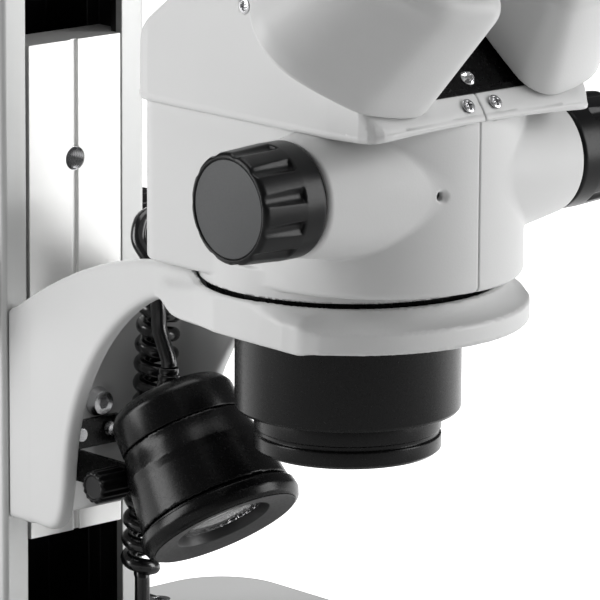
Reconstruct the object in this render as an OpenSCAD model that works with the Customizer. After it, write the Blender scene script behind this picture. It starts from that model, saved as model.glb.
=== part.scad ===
// Stereo zoom microscope on a track stand.  Millimetres, +Z up, feet on Z = 0,
// +X to the user's right, +Y away from the user towards the column.

/* [Layout] */
// Optical axis, distance along Y from the middle of the stand
axis_y = -34.3; // [-36:0.1:-33]
// Height of the objective's lower rim above the table
obj_z = 165; // [160:1:175]

/* [Base] */
// Width of the base
base_w = 240; // [220:5:260]
// Distance from the optical axis to the front of the base
base_front = 105; // [95:1:110]
// Distance from the optical axis to the back of the base
base_back = 196; // [196:1:205]
// Height of the base's top face above the table
base_top = 60; // [56:1:64]
// Height of the rubber feet
foot_h = 5; // [4:1:8]
// Diameter of the round stage plate
stage_d = 95; // [90:1:96]

/* [Column] */
// Width of the column extrusion
col_w = 65; // [64:0.5:68]
// Depth of the column extrusion
col_d = 47.7; // [47:0.1:50]
// Distance from the optical axis to the column's front face
col_y = 142.3; // [142:0.1:143]
// Height of the column's top end above the table
col_top = 370; // [360:5:400]

/* [Focus slide] */
// Width of the slider's front block
slide_w = 41.6; // [40:0.1:43]
// Length of the slider
slide_len = 177; // [170:1:180]
// Height of the slider's lower end above the objective's rim
slide_z = -57.2; // [-60:0.1:-55]
// Gear module of rack and pinion
gear_m = 1; // [1:1:1]
// Teeth of the pinion
pinion_teeth = 12; // [12:1:12]
// Height of the pinion above the objective's rim
pinion_z = 32; // [30:1:34]

/* [Holder arm] */
// Outer radius of the holder ring
ring_r = 60.4; // [59:0.1:62]
// Thickness of the arm's walls
arm_t = 6; // [5:0.5:7]

/* [Head] */
// Radius of the objective housing, the standard 76 mm mount
mount_r = 38; // [38:0.1:38]
// Half width of the head body
body_r = 48.8; // [48:0.1:50]
// Thickness of the covers
cover_t = 3; // [2.5:0.5:3.5]
// Angle of the eyepieces above the horizontal
eye_angle = 45; // [45:1:45]
// Half of the distance between the eyepieces at rest
eye_x = 31; // [30:0.5:32]

/* [Lamp] */
// Tilt of the lamp from straight down
lamp_tilt = 36.4; // [30:0.1:40]
// Outer diameter of the curly cord's coil
coil_d = 16; // [15:0.5:17]
// Diameter of the cord
cord_d = 5.4; // [5:0.1:6]

/* [Hidden] */
$fn = 48;

// Colours
cast_white = [0.84, 0.84, 0.83];
black = [0.08, 0.08, 0.09];
alu = [0.78, 0.79, 0.80];
steel = [0.70, 0.71, 0.72];
glass = [0.75, 0.85, 0.90, 0.5];

// Clearances
gap = 0.3;      // between curved faces of different bodies
run = 0.05;     // radial clearance of a shaft in its bore
over = 1;       // how far a cut runs past a face

// Base
base_y0 = axis_y - base_front;
base_y1 = axis_y + base_back;
base_d = base_y1 - base_y0;
base_cy = (base_y0 + base_y1) / 2;
wall = 4;
base_r = 26;
panel_z = 25;               // height of the front controls
dimmer_x = 60;
socket_x = 13;
socket_y = axis_y + 121;
inlet_x = 60;
post_x = 88;
post_y = [base_y0 + 34, base_y1 - 34];
clip_x = 60;
clip_y = axis_y + 34;

// Column and slide
lip_t = 6;
slot_half = 22;
tee_half = 27.5;
tee_d = 13;
slide_front = col_y - 0.5;
wing_y = col_y + lip_t + gap;
slide_back = col_y + lip_t + tee_d - 0.6;
rack_t = 8;
pinion_r = gear_m * pinion_teeth / 2;
pinion_y = slide_back + rack_t - gear_m + pinion_r + 0.2;
knob_in = col_w / 2 + 9;

// Head, measured from the centre of the objective's lower rim
seam = 0.15;                // half of the joint line between the two halves
body_cy = -13.2;            // centre of the round front
body_back = 52.5;
body_z0 = 63.2;
body_steps = [[63.2, 3.4], [64.6, 1.2], [66.5, 0]];  // [height, inset] of the lower rim
body_z1 = 121;
joint = 0.2;                // step between the lower and the upper covers
collar_r = 50.1;
collar_z = 60.4;
top_w = 51;
top_front = -65.5;
top_back = 53.6;
function lip_z(y) = 119.9 - 2 * (y + 65.5) / 119;
slope_y = -59;              // lower edge of the inclined mounting face
slope_z = 129.4;
zoom_y = -34.7;
zoom_z = 98.3;
boss_l = 58;
boss_r = 56;
knob_len = 27;
beam_x = 17;                // half distance of the two light paths
dome_x = 2.5;               // screw of the front plate
dome_up = 6.5;

// Lamp, measured from the same point
lamp_y = 91.4;
lamp_z = -0.5;
pivot_y = 98.5;
pivot_z = -28.5;
ear_x = -13.3;

// Route of the straight lead from the lamp, over the arm, to the coil
lead_route = [[0, 91.5, 11.4], [-0.1, 91.9, 14.5], [-1, 95.2, 24], [-1, 96, 32], [-1, 97.8, 40.5],
  [-1.2, 100.6, 48], [-2, 105.2, 54.3], [0.8, 107.3, 60], [5.5, 108, 62], [10, 109.4, 59.5],
  [12.6, 111.2, 53], [13.5, 112, 44]];
coil_route = [[13.5, 112, 43.2], [14, 113.5, 28], [14.5, 115.6, 10], [15, 117, -12],
  [14.5, 118.5, -32], [13.5, 120.3, -52], [13, 121, -72]];
tail_route = [[13, 121, -72], [13, 121, -77], [13, 121, -82]];

// ---- small helpers ----

function bez(a, b, c, d, n = 10) =
  [for (i = [0:n]) let(t = i / n, s = 1 - t) s*s*s*a + 3*s*s*t*b + 3*s*t*t*c + t*t*t*d];

module at_axis() translate([0, axis_y, obj_z]) children();

module along_x() rotate([0, 90, 0]) children();

module ring_solid(h, ro, ri) difference() {
  cylinder(h = h, r = ro);
  translate([0, 0, -over]) cylinder(h = h + 2 * over, r = ri);
}

module rounded_rect(w, d, r) {
  square([w - 2 * r, d], center = true);
  square([w, d - 2 * r], center = true);
  for (x = [-1, 1], y = [-1, 1])
    translate([x * (w / 2 - r), y * (d / 2 - r)]) circle(r);
}

module slab(w, d, h, r) linear_extrude(h) rounded_rect(w, d, r);

// Extrudes an outline drawn in (y, z) along X, centred
module side_extrude(w) rotate([90, 0, 90]) translate([0, 0, -w / 2]) linear_extrude(w) children();

// Catmull-Rom point between p[i] and p[i+1]
function cr(p, i, t) = let(n = len(p), a = p[max(i - 1, 0)], b = p[i], c = p[i + 1],
  d = p[min(i + 2, n - 1)])
  0.5 * (2*b + (c - a)*t + (2*a - 5*b + 4*c - d)*t*t + (3*b - a - 3*c + d)*t*t*t);
function spline(p, per) =
  concat([for (i = [0:len(p) - 2], k = [0:per - 1]) cr(p, i, k / per)], [p[len(p) - 1]]);
function unit(v) = v / norm(v);

// Closed tube of radius r along the route, rings stay square to +X
module swept_tube(route, r, per = 2, sides = 10) {
  pts = spline(route, per);
  n = len(pts);
  rings = [for (i = [0:n - 1])
    let(t = unit(pts[min(i + 1, n - 1)] - pts[max(i - 1, 0)]),
        u = unit(cross(t, [0, 1, 0])), v = cross(t, u))
    for (k = [0:sides - 1]) pts[i] + r * (cos(360 * k / sides) * u + sin(360 * k / sides) * v)];
  walls = [for (i = [0:n - 2], k = [0:sides - 1]) let(j = (k + 1) % sides)
    [i * sides + k, (i + 1) * sides + k, (i + 1) * sides + j, i * sides + j]];
  polyhedron(rings, concat([[for (k = [0:sides - 1]) k]], walls,
    [[for (k = [sides - 1:-1:0]) (n - 1) * sides + k]]));
}

// Screw pointing down, its head's underside on Z = 0
module screw(r_head, h_head, r_shank, len_shank, socket = 0) difference() {
  union() {
    cylinder(h = h_head, r1 = r_head, r2 = r_head * 0.8);
    translate([0, 0, -len_shank]) cylinder(h = len_shank + 0.1, r = r_shank);
  }
  if (socket > 0) translate([0, 0, h_head * 0.4]) cylinder(h = h_head, r = socket, $fn = 6);
}

// ---- base ----

module base_block(inset, z0) intersection() {
  translate([0, base_cy, z0]) slab(base_w - 2 * inset, base_d - 2 * inset, base_top - inset - z0,
    base_r - inset);
  side_extrude(base_w) polygon([[base_y0 + inset, z0], [base_y1 - inset, z0],
    [base_y1 - inset, base_top - inset], [base_y0 + 34 + inset / 2, base_top - inset],
    [base_y0 + inset + 5, 43 - inset / 2], [base_y0 + inset, 37 - inset / 2]]);
}

module base_posts(r) for (x = [-1, 1], y = post_y) translate([x * post_x, y, foot_h + 2])
  cylinder(h = base_top - foot_h - 2 - wall / 2, r = r);

module base_housing() color(cast_white) difference() {
  union() {
    difference() {
      base_block(0, foot_h);
      base_block(wall, foot_h - over);
    }
    translate([0, axis_y, base_top - 2 * wall]) cylinder(h = wall + 0.5, r = stage_d / 2 + 5);
    base_posts(5);
  }
  translate([0, axis_y, base_top - wall]) cylinder(h = wall + over, r = stage_d / 2 + gap);
  translate([0, axis_y, base_top - 3 * wall]) cylinder(h = 3 * wall, r = stage_d / 2 - 5);
  translate([0, 0, -0.01]) for (x = [-1, 1], y = post_y)
    translate([x * post_x, y, foot_h]) cylinder(h = 24, r = 1.7);
  translate([0, base_y0 + wall / 2, panel_z]) cube([28, 2 * wall, 20], center = true);
  for (x = [-1, 1]) {
    translate([x * dimmer_x, base_y0 - over, panel_z]) rotate([-90, 0, 0]) cylinder(h = 10, r = 5);
    translate([x * clip_x, clip_y, base_top - 2 * wall]) cylinder(h = 3 * wall, r = 3 + run);
    for (y = [-1, 1]) translate([x * 41, axis_y + col_y + col_d / 2 + y * 22, base_top - 2 * wall])
      cylinder(h = 3 * wall, r = 3.1);
  }
  translate([socket_x, socket_y, base_top - 2 * wall]) cylinder(h = 3 * wall, r = 8);
  translate([inlet_x, base_y1 - wall / 2, panel_z + 5]) cube([28, 2 * wall, 21], center = true);
  for (k = [0:5]) translate([-76 + 7 * k, base_y1 - wall / 2, panel_z + 5])
    cube([2.4, 2 * wall, 22], center = true);
}

module base_bottom_plate() color(steel) difference() {
  translate([0, base_cy, foot_h]) slab(base_w - 2 * wall - 1, base_d - 2 * wall - 1, 2, base_r - wall);
  for (x = [-1, 1], y = post_y) translate([x * post_x, y, 0]) cylinder(h = 10, r = 2.2);
}

module rubber_feet() color(black) for (x = [-1, 1], y = [base_y0 + 22, base_y1 - 22])
  translate([x * (base_w / 2 - 18), y, 0]) difference() {
    cylinder(h = foot_h, r1 = 9, r2 = 11);
    translate([0, 0, -over]) cylinder(h = 2.5 + over, r = 4);
  }

module stand_screws() color(steel) {
  for (x = [-1, 1], y = post_y) translate([x * post_x, y, foot_h]) rotate([180, 0, 0])
    screw(4, 1.6, 1.6, 20);
  for (x = [-1, 1], y = [-1, 1])
    translate([x * 41, axis_y + col_y + col_d / 2 + y * 22, base_top + 10])
      screw(5, 4, 3, 13.9, 2.5);
}

module stage_plate() color(glass) translate([0, axis_y, base_top - wall])
  cylinder(h = wall, r = stage_d / 2);

module stage_led_panel() color([0.9, 0.9, 0.8]) translate([0, axis_y, base_top - 22]) {
  translate([-48, -48, 0]) cube([96, 96, 2]);
  for (k = [0:7]) rotate(45 * k) translate([26, 0, 1.9]) cylinder(h = 3, r = 3);
  for (x = [-44, 44], y = [-44, 44]) translate([x, y, -(base_top - 22 - foot_h - 2)])
    cylinder(h = base_top - 22 - foot_h - 2 + 0.1, r = 2.5);
}

module control_board() color([0.1, 0.35, 0.2]) {
  translate([-80, base_y0 + 16, foot_h + 4]) cube([160, 40, 1.6]);
  for (x = [-72, 72], y = [20, 52]) translate([x, base_y0 + y, foot_h + 2]) cylinder(h = 2.1, r = 3);
  for (x = [-1, 1]) translate([x * dimmer_x, base_y0, 0]) {
    translate([-8, 14.2, foot_h + 5.5]) cube([16, 10, panel_z + 3 - foot_h]);
    translate([0, wall + 0.4, panel_z]) rotate([-90, 0, 0]) cylinder(h = 10, r = 3.5);
  }
}

module power_inlet() color(black) translate([inlet_x, base_y1, panel_z + 5]) difference() {
  union() {
    translate([-13.8, -22, -10.3]) cube([27.6, 21.8, 20.6]);
    translate([-15.5, -1.4 - wall, -12]) cube([31, 1.2, 24]);
  }
  difference() {
    translate([-10.5, -17, -7]) cube([21, 20, 14]);
    for (x = [-6, 0, 6]) translate([x - 1, -18, -3]) cube([2, 14, 6]);
  }
}

module lamp_socket() color(black) translate([socket_x, socket_y, base_top]) difference() {
  union() {
    cylinder(h = 2, r = 10);
    translate([0, 0, -14]) cylinder(h = 14.5, r = 7.9);
  }
  translate([0, 0, -11]) cylinder(h = 20, r = 5.3);
}

module switch_body() color(black) translate([0, base_y0, panel_z]) difference() {
  union() {
    translate([-16, -1.5, -12]) cube([32, 1.5, 24]);
    translate([-13.8, -0.1, -9.8]) cube([27.6, 18, 19.6]);
  }
  translate([-11.5, -3, -7.5]) cube([23, 12, 15]);
}

module power_rocker() color(black) translate([0, base_y0 + 4, panel_z]) intersection() {
  along_x() translate([0, 0, -11]) cylinder(h = 22, r = 7.2);
  translate([-11, -12, -7.2]) cube([22, 13, 14.4]);
}

module dimmer_knob(side) color(black) translate([side * dimmer_x, base_y0 - gap, panel_z])
  rotate([90, 0, 0]) difference() {
    union() {
      cylinder(h = 2, r = 10);
      translate([0, 0, 1.9]) cylinder(h = 9, r1 = 8.6, r2 = 7.8);
      translate([0, 0, -3.6]) cylinder(h = 4, r = 3);
    }
    for (k = [0:11]) rotate(30 * k) translate([9.2, 0, 3]) cylinder(h = 10, r = 1.1, $fn = 16);
    translate([-0.5, 3, 10.4]) cube([1, 5, 2]);
  }

module stage_clip(side) color(steel) translate([side * clip_x, clip_y, base_top + 0.2])
  rotate(side > 0 ? 128 : 52) {
    translate([0, 0, -8]) cylinder(h = 11, r = 3);
    cylinder(h = 1, r = 7);
    translate([0, 0, 2.9]) cylinder(h = 6, r1 = 7, r2 = 6);
    translate([0, -4, 0.9]) cube([52, 8, 1]);
    translate([0, 0, 0.9]) cylinder(h = 1, r = 7);
    translate([52, 0, 0.9]) cylinder(h = 1, r = 4);
  }

// ---- column and focus ----

module column_outline() difference() {
  translate([0, col_y + col_d / 2]) rounded_rect(col_w, col_d, 2);
  translate([-slot_half, col_y - over]) square([2 * slot_half, lip_t + 2 * over]);
  translate([-tee_half, col_y + lip_t]) square([2 * tee_half, tee_d]);
  translate([-slot_half, col_y + lip_t + tee_d - over])
    square([2 * slot_half, col_d - 2 * lip_t - tee_d + over]);
  for (x = [-1, 1], y = [12, 36]) translate([x * col_w / 2, col_y + y]) circle(1, $fn = 16);
}

module pinion_cut(r) translate([-col_w, pinion_y, pinion_z]) along_x() cylinder(h = 2 * col_w, r = r);

module column() color(alu) at_axis() difference() {
  translate([0, 0, base_top - obj_z]) linear_extrude(col_top - base_top) column_outline();
  pinion_cut(7);
}

module column_top_cap() color(black) at_axis()
  translate([0, col_y + col_d / 2, col_top - obj_z]) {
    slab(col_w + 1, col_d + 1, 4, 3);
    translate([0, 0, 3.9]) slab(col_w - 6, col_d - 6, 1.6, 3);
  }

module column_foot() color(black) at_axis() translate([0, col_y + col_d / 2, base_top - obj_z])
  difference() {
    slab(104, col_d + 12, 10, 8);
    translate([0, 0, -over]) slab(col_w + 0.2, col_d + 0.2, 12, 2);
    for (x = [-1, 1], y = [-1, 1]) translate([x * 41, y * 22, -over]) cylinder(h = 12, r = 3.1);
  }

module pinion_bushes() color([0.72, 0.55, 0.25]) at_axis() for (s = [-1, 1])
  translate([s * (slot_half + 0.2), pinion_y, pinion_z]) rotate([0, s * 90, 0]) difference() {
    union() {
      cylinder(h = col_w / 2 - slot_half - 0.2, r = 6.95);
      translate([0, 0, col_w / 2 - slot_half - 0.2]) cylinder(h = 2, r = 10);
      translate([0, 0, col_w / 2 - slot_half + 1.7]) cylinder(h = 6, r = 8);
    }
    translate([0, 0, -over]) cylinder(h = 40, r = 4 + run);
  }

module slider() color(alu) at_axis() difference() {
  union() {
    translate([-slide_w / 2, slide_front, slide_z]) cube([slide_w, wing_y - slide_front + 0.1, slide_len]);
    translate([-tee_half + gap, wing_y, slide_z])
      cube([2 * (tee_half - gap), slide_back - wing_y, slide_len]);
  }
  translate([-1.45, slide_front - over, slide_z - over]) cube([2.9, 2.2, slide_len + 2 * over]);
  translate([0, slide_front - over, 77.5]) rotate([-90, 0, 0]) cylinder(h = 16, r = 4.25);
  for (z = [20, -8, -36]) translate([0, slide_front - over, z]) rotate([-90, 0, 0])
    cylinder(h = 14, r = 3.1);
}

// Rack teeth point to +Y; a gap lies level with the pinion
rack_half = 55;
pitch = PI * gear_m;
module focus_rack() color(steel) at_axis() side_extrude(10) {
  y0 = slide_back;
  y1 = slide_back + rack_t - 2.25 * gear_m;
  translate([y0, pinion_z - 20 - rack_half]) square([y1 - y0, 2 * rack_half]);
  for (k = [-17:16]) translate([y1 - 0.01, pinion_z - 20 + 20 % pitch + pitch * (k + 0.5)])
    polygon([[0, -1.1 * gear_m], [2.26 * gear_m, -0.35 * gear_m], [2.26 * gear_m, 0.35 * gear_m],
      [0, 1.1 * gear_m]]);
}

module pinion_shaft() color(steel) at_axis() translate([0, pinion_y, pinion_z]) along_x() {
  translate([0, 0, -(knob_in + 16)]) cylinder(h = 2 * knob_in + 32, r = 4);
  translate([0, 0, -7]) linear_extrude(14) {
    circle(pinion_r - 1.25 * gear_m);
    for (k = [0:pinion_teeth - 1]) rotate(90 + 360 / pinion_teeth * k)
      polygon([[pinion_r - 1.7, -1.05], [pinion_r, -0.62], [pinion_r + 0.95, -0.28],
        [pinion_r + 0.95, 0.28], [pinion_r, 0.62], [pinion_r - 1.7, 1.05]]);
  }
}

module focus_knob(side) color(black) at_axis()
  translate([side * knob_in, pinion_y, pinion_z]) rotate([0, side * 90, 0]) difference() {
    rotate_extrude() polygon([[4, 0], [13, 0], [21, 3], [22, 5], [22, 19], [20.5, 21], [4, 21]]);
    for (k = [0:23]) rotate(15 * k) translate([22.4, 0, 4]) cylinder(h = 14, r = 0.9, $fn = 16);
    translate([0, 0, 16]) cylinder(h = 6, r = 9);
  }

module tension_collar() color(alu) at_axis()
  translate([-(col_w / 2 + 2.3), pinion_y, pinion_z]) rotate([0, -90, 0]) difference() {
    union() {
      cylinder(h = 5.6, r = 15);
      rotate(-60) translate([13, -2.5, 0]) cube([13, 5, 5.6]);
    }
    translate([0, 0, -over]) cylinder(h = 8, r = 8 + run);
    for (k = [0:14]) rotate(20 * k - 20) translate([15.3, 0, -over]) cylinder(h = 8, r = 0.8, $fn = 16);
  }

// ---- holder arm ----

arm_x = 30.5;
arm_flare = 5.74;
web_front = 130;
arm_low = -47;
clamp_z = 49.2;
wall_top = concat(bez([0, 27.5], [35, 49], [70, 62], [110, 62], 12),
  bez([110, 62], [135, 62], [150, 52.8], [175, 52.4], 8));
wall_under = concat([[176, 47], [150, 46.4], [138, 43.4]], bez([132, 43.2], [116, 41.6], [104, 48.6], [91, 48], 8),
  bez([89, 47.8], [66, 40], [38, 12], [35, -22], 12), bez([34.5, -26], [33, -40], [31, -47], [22, -47], 8));

// Plan of the ring's flattened side, from the back to the front
ring_side = [[-20, 66], [-36, 53], [-41.5, 41], [-47.5, 24.6], [-51.4, 10], [-52.2, -4], [-52.3, -14],
  [-51.6, -24], [-48.9, -35.4], [-40, -70]];

module arm_wall(side) mirror([side < 0 ? 0 : 1, 0, 0]) translate([-arm_x, slide_front, 0])
  rotate(-90 - arm_flare) rotate([90, 0, 0]) translate([0, 0, -arm_t])
    linear_extrude(arm_t) polygon(concat([[-3, 27.5]], wall_top, wall_under, [[-3, arm_low]]));

module head_holder_arm() color(cast_white) at_axis() difference() {
  union() {
    difference() {
      union() { arm_wall(-1); arm_wall(1); }
      translate([0, 0, 30]) cylinder(h = 50, r = 53);
    }
    translate([1.5 - arm_x, web_front, arm_low + 0.6])
      cube([2 * arm_x - 3, slide_front - web_front + over, 73.2]);
    intersection() {
      rotate_extrude($fn = 96) polygon(concat([[mount_r + 0.3, 45.4], [ring_r - 1, 45.4], [ring_r, 46.4]],
        bez([ring_r, 51.4], [ring_r - 0.2, 53.2], [56, 54.4], [53, 58.4], 6),
        [[52.2, 59], [51, 59], [50.6, 58], [50.6, 56], [mount_r + 0.3, 56]]));
      translate([0, 0, 40]) linear_extrude(30) polygon(concat(ring_side, [for (i = [1:len(ring_side)])
        [-ring_side[len(ring_side) - i][0], ring_side[len(ring_side) - i][1]]]));
    }
  }
  translate([-2 * arm_x, slide_front, -60]) cube([4 * arm_x, 20, 120]);
  for (z = [20, -8, -36]) translate([0, web_front - over, z]) rotate([-90, 0, 0])
    cylinder(h = 20, r = 3.1);
  for (x = [-10.4, 4]) translate([x, web_front - over, -18]) rotate([-90, 0, 0])
    cylinder(h = 9, r = 1.6);
  rotate(30) translate([mount_r - 1, 0, clamp_z]) along_x() cylinder(h = 30, r = 3 + run);
}

module carriage_screws() color(steel) at_axis() {
  for (z = [20, -8, -36]) translate([0, web_front, z]) rotate([90, 0, 0]) screw(5.3, 3.5, 3, 22, 2.3);
  for (x = [-10.4, 4]) translate([x, web_front - 2.2, -18]) rotate([90, 0, 0]) screw(2.9, 2, 1.5, 9);
}

module lamp_bracket() color(black) at_axis() difference() {
  union() {
    translate([-15.8, web_front - 2.2, -23.5]) cube([24.4, 2.2, 10]);
    translate([-15.8, web_front - 2.2, -33.5]) cube([4.5, 2.2, 12]);
    translate([ear_x, pivot_y, -34]) cube([2, web_front - pivot_y, 11]);
    translate([ear_x, pivot_y, pivot_z]) along_x() cylinder(h = 2, r = 5.5);
  }
  translate([ear_x - over, pivot_y, pivot_z]) along_x() cylinder(h = 4, r = 2 + run);
  for (x = [-10.4, 4]) translate([x, web_front - 4, -18]) rotate([-90, 0, 0]) cylinder(h = 6, r = 1.6);
}

module ring_clamp_screw() color(black) at_axis() rotate(30) translate([0, 0, clamp_z]) along_x() {
  translate([0, 0, mount_r + 0.5]) cylinder(h = 26, r = 3);
  translate([0, 0, ring_r + 3]) difference() {
    union() {
      cylinder(h = 3, r1 = 5, r2 = 8);
      translate([0, 0, 2.9]) cylinder(h = 11, r = 8);
    }
    for (k = [0:11]) rotate(30 * k) translate([8.6, 0, 4]) cylinder(h = 12, r = 1.2, $fn = 16);
  }
}

// ---- lamp ----

module lamp_frame() translate([0, lamp_y, lamp_z]) rotate([-lamp_tilt, 0, 0]) children();

module lamp_housing() color(black) at_axis() difference() {
  union() {
    lamp_frame() rotate_extrude() polygon([[0, -13.2], [20, -13.2], [22, -14.5], [24.2, -19], [24.9, -20.5],
      [25.2, -26], [27.4, -41.2], [25.2, -41.2], [22.8, -26], [22.5, -22], [0, -20]]);
    translate([-11, pivot_y, pivot_z]) along_x() cylinder(h = 12, r = 6);
    translate([-11, 84, pivot_z - 5]) cube([12, pivot_y - 84, 10]);
  }
  lamp_frame() {
    translate([0, 0, -41.3]) cylinder(h = 19.3, r = 22.5);
    translate([0, 0, -13.2]) cylinder(h = 12, r = 24);
  }
  translate([-12, pivot_y, pivot_z]) along_x() cylinder(h = 12, r = 2 + run);
  translate([-36, pivot_y, pivot_z]) along_x() cylinder(h = 25, r = 6.6);
}

module lamp_rear_cap() color(black) at_axis() {
  lamp_frame() rotate_extrude() polygon(concat([[0, -13.2], [0, 2.6]],
    bez([12, 2.4], [19, 2.2], [22.6, 0.6], [23, -2.4], 8), [[23.2, -12], [22.4, -13.2]]));
  translate([0, 91.5, 0]) cylinder(h = 11, r1 = 4.4, r2 = 3.3);
}

module lamp_bezel() color(black) at_axis() lamp_frame() rotate_extrude()
  polygon(concat([[22.7, -41.4], [26.6, -41.4], [26.6, -42.6], [27.8, -42.9]],
    bez([28.2, -43.4], [29, -46], [28, -48], [25, -49.8], 6), [[23.4, -50], [21, -44.6], [22.7, -44.6]]));

module lamp_reflector() color(steel) at_axis() lamp_frame() rotate_extrude()
  polygon([[3, -24], [10, -27], [17, -33], [20.4, -41.6], [21.6, -41.6], [18, -32], [10.6, -25.8],
    [3, -22.8]]);

module lamp_glass() color(glass) at_axis() lamp_frame() translate([0, 0, -44.2])
  cylinder(h = 2.4, r = 20.8);

module lamp_tilt_knob() color(black) at_axis() translate([ear_x - gap, pivot_y, pivot_z]) {
  along_x() translate([0, 0, -0.1]) cylinder(h = 11.5, r = 2);
  rotate([0, -90, 0]) difference() {
    union() {
      cylinder(h = 2.2, r = 4.4);
      translate([0, 0, 2.1]) cylinder(h = 13.4, r = 5.8);
    }
    for (k = [0:13]) rotate(360 / 14 * k) translate([6.1, 0, 3]) cylinder(h = 11, r = 0.6, $fn = 16);
  }
}

// ---- curly cord ----

module lamp_cord_lead() color(black) at_axis() swept_tube(lead_route, cord_d / 2, 3);
module lamp_cord_coil() color(black) at_axis() {
  swept_tube(coil_route, coil_d / 2, 2, 12);
  swept_tube(tail_route, cord_d / 2, 1);
}
module lamp_plug() color(black) translate([socket_x, socket_y, base_top]) {
  translate([0, 0, -9]) cylinder(h = 11.1, r = 5);
  translate([0, 0, 2]) cylinder(h = 13, r = 7);
  translate([0, 0, 14.9]) cylinder(h = 8.1, r1 = 5.4, r2 = 3.4);
}

// ---- head ----

module body_plan(inset) {
  translate([0, body_cy]) circle(body_r - inset, $fn = 96);
  translate([-body_r + inset, body_cy]) square([2 * (body_r - inset), body_back - 10 - body_cy]);
  translate([-body_r + 10, body_cy]) square([2 * (body_r - 10), body_back - inset - body_cy]);
  for (x = [-1, 1]) translate([x * (body_r - 10), body_back - 10]) circle(10 - inset);
}

module half(side) intersection() {
  children();
  translate([side > 0 ? seam : -200, -200, 0]) cube([200 - seam, 400, 300]);
}

// Flared boss that carries a zoom knob, axis along +Z
module zoom_boss(side, inset) {
  x = (side > 0 ? boss_r : boss_l) - inset;
  rotate_extrude() polygon(concat([[0, 8], [0, x]],
    bez([19.3 - inset, x], [21.5 - inset, 45], [23.6 - inset, 28], [25.2 - inset, 10], 6)));
}

module lower_cover(side) color(cast_white) at_axis() half(side) difference() {
  union() {
    intersection() {
      for (p = body_steps) translate([0, 0, p[0]]) linear_extrude(body_z1 - p[0]) body_plan(p[1]);
      side_extrude(120) polygon([[top_front, body_z0 - over], [top_back, body_z0 - over],
        [top_back, lip_z(top_back) - joint], [top_front, lip_z(top_front) - joint]]);
    }
    translate([0, zoom_y, zoom_z]) rotate([0, side * 90, 0]) zoom_boss(side, 0);
    translate([0, 0, collar_z]) cylinder(h = body_z0 - collar_z + 1, r = collar_r, $fn = 96);
  }
  translate([0, 0, body_z0 + cover_t]) linear_extrude(60) body_plan(cover_t);
  translate([0, 0, collar_z - over]) cylinder(h = 20, r = 46.5);
  translate([0, zoom_y, zoom_z]) rotate([0, side * 90, 0]) {
    zoom_boss(side, cover_t);
    cylinder(h = 80, r = 4.3);
  }
  translate([-15, -64, 97]) rotate([-90, 0, 0]) cylinder(h = 20, r = 1.5);
  translate([-15, -61.2, 97]) rotate([90, 0, 0]) cylinder(h = 4, r1 = 2, r2 = 5);
}

// Plan of the upper cover: flat sides that draw in towards the front corners
module top_plan(inset) {
  w = top_w - inset;
  f = top_front + inset;
  b = top_back - inset;
  r = 4;
  hull_w = w - 4.4;
  polygon([[-w, -44], [-hull_w - 0.6, f + r + 1], [-hull_w + r, f], [hull_w - r, f],
    [hull_w + 0.6, f + r + 1], [w, -44], [w, b - 10], [w - 10, b], [-w + 10, b], [-w, b - 10]]);
  for (x = [-1, 1]) {
    translate([x * (w - 10), b - 10]) circle(10);
    translate([x * (hull_w - r + 0.4), f + r]) circle(r);
  }
}

top_z1 = 184;
module top_profile(inset) polygon(concat([[top_front + inset, lip_z(top_front)],
  [top_front + inset, 121], [slope_y + inset * 0.4, slope_z - inset],
  [slope_y + (top_z1 - slope_z - 6), top_z1 - 6 - inset * 1.4], [2, top_z1 - inset]],
  bez([14, top_z1 - 1 - inset], [26, 174 - inset], [34 - inset, 154], [46 - inset, 145], 8),
  bez([47 - inset, 144], [52 - inset, 140], [top_back - inset, 136], [top_back - inset, 130], 5),
  [[top_back - inset, lip_z(top_back)]]));

module slope_frame() translate([0, slope_y, slope_z]) rotate([eye_angle, 0, 0]) children();

module upper_cover(side) color(cast_white) at_axis() half(side) difference() {
  intersection() {
    translate([0, 0, 110]) linear_extrude(80) top_plan(0);
    side_extrude(120) top_profile(0);
  }
  intersection() {
    translate([0, 0, 110]) linear_extrude(80) top_plan(cover_t);
    side_extrude(120) translate([0, -over]) top_profile(cover_t);
  }
  slope_frame() translate([-26, -0.2, -8]) cube([52, 46.8, 12]);
  for (s = [-1, 1]) {
    translate([s * 6, slope_y, slope_z]) rotate([55, 0, 0]) translate([0, -4.6, 0]) {
      translate([0, 0, -5]) cylinder(h = 12, r = 1.7);
      translate([0, 0, -0.15]) cylinder(h = 12, r = 2.6);
    }
    slope_frame() translate([s * 44, 18, -8]) cylinder(h = 12, r = 14);
    translate([s * top_w, -4.4, 156]) rotate([0, s * 90, 0]) translate([0, 0, -5]) cylinder(h = 12, r = 1.7);
  }
}

module front_plate() color(black) at_axis() slope_frame() translate([0, 0, -4.2]) difference() {
  union() {
    translate([-25.7, 0.1, 0]) cube([51.4, 46.2, 2.4]);
    translate([-25.7, 0.1, 2.3]) cube([51.4, 2.2, 1]);
  }
  translate([dome_x, dome_up, -over]) cylinder(h = 5, r = 1.7);
}

module head_frame() color(alu) at_axis() {
  difference() {
    translate([0, 0, collar_z]) cylinder(h = 5, r = 46.2);
    for (s = [-1, 1]) translate([s * beam_x, 0, collar_z - over]) cylinder(h = 8, r = 12);
  }
  for (y = [-22, 22]) translate([0, y, collar_z + 4.9]) cylinder(h = 90, r = 3);
  difference() {
    translate([-34, -23, 154.9]) cube([68, 50, 4]);
    for (s = [-1, 1]) translate([s * beam_x, 0, 150]) cylinder(h = 12, r = 12);
  }
}

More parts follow.
